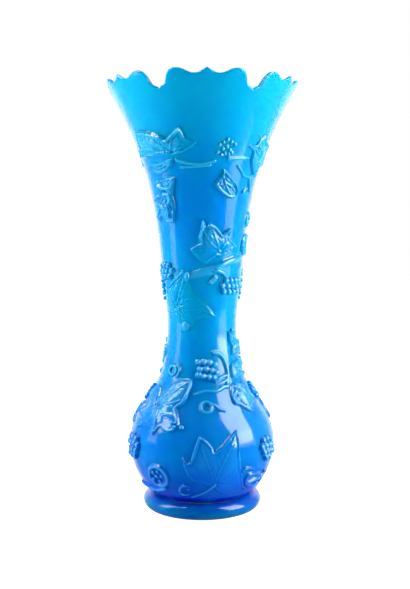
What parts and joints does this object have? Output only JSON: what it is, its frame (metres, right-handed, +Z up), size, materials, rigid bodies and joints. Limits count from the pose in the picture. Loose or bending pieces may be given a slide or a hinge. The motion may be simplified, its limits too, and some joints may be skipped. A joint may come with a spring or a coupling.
{
  "type": "opaline glass vase",
  "caption": "Tall moulded opaline glass vase with a round bulb, slim neck, flared lobed rim, ring foot and vine leaf and grape relief.",
  "frame": {"origin": "middle of the foot ring's underside", "axes": "+Z up along the vase's axis, front of the vase towards -Y"},
  "size_m": [0.132, 0.1338, 0.3],
  "materials": {
    "body_glass": "glossy translucent blue opaline",
    "foot_glass": "glossy translucent blue opaline",
    "leaf_glass": "glossy translucent blue opaline",
    "grape_glass": "glossy translucent blue opaline",
    "stem_glass": "glossy translucent blue opaline"
  },
  "bodies": {
    "root": {"vase_body": "body_glass", "foot_ring": "foot_glass", "front_base_leaf": "leaf_glass", "front_bulb_left_leaf": "leaf_glass", "front_shoulder_right_leaf": "leaf_glass", "front_waist_right_leaf": "leaf_glass", "front_neck_low_leaf": "leaf_glass", "front_neck_front_leaf": "leaf_glass", "front_neck_left_leaf": "leaf_glass", "front_neck_side_leaf": "leaf_glass", "front_hanging_left_leaf": "leaf_glass", "front_mouth_left_leaf": "leaf_glass", "front_mouth_left_lower_leaf": "leaf_glass", "front_mouth_right_leaf": "leaf_glass", "front_mouth_centre_leaf": "leaf_glass", "front_waist_grapes": "grape_glass", "front_bulb_right_grapes": "grape_glass", "front_bulb_left_grapes": "grape_glass", "front_shoulder_right_grapes": "grape_glass", "front_neck_right_grapes": "grape_glass", "front_neck_left_grapes": "grape_glass", "front_mouth_right_grapes": "grape_glass", "front_bulb_tendril": "stem_glass", "front_bulb_ring": "stem_glass", "front_waist_left_ring": "stem_glass", "front_waist_tendril": "stem_glass", "front_base_bud": "stem_glass", "front_base_curl": "stem_glass", "front_neck_bud": "stem_glass", "front_neck_stem": "stem_glass", "front_mouth_twig": "stem_glass", "front_mouth_stems": "stem_glass", "front_neck_side_ring": "stem_glass", "back_base_leaf": "leaf_glass", "back_bulb_left_leaf": "leaf_glass", "back_shoulder_right_leaf": "leaf_glass", "back_waist_right_leaf": "leaf_glass", "back_neck_low_leaf": "leaf_glass", "back_neck_front_leaf": "leaf_glass", "back_neck_left_leaf": "leaf_glass", "back_hanging_left_leaf": "leaf_glass", "back_mouth_left_leaf": "leaf_glass", "back_mouth_left_lower_leaf": "leaf_glass", "back_mouth_right_leaf": "leaf_glass", "back_mouth_centre_leaf": "leaf_glass", "back_waist_grapes": "grape_glass", "back_bulb_right_grapes": "grape_glass", "back_bulb_left_grapes": "grape_glass", "back_neck_right_grapes": "grape_glass", "back_neck_left_grapes": "grape_glass", "back_mouth_right_grapes": "grape_glass", "back_bulb_tendril": "stem_glass", "back_bulb_ring": "stem_glass", "back_waist_left_ring": "stem_glass", "back_waist_tendril": "stem_glass", "back_neck_stem": "stem_glass"}
  },
  "joints": []
}
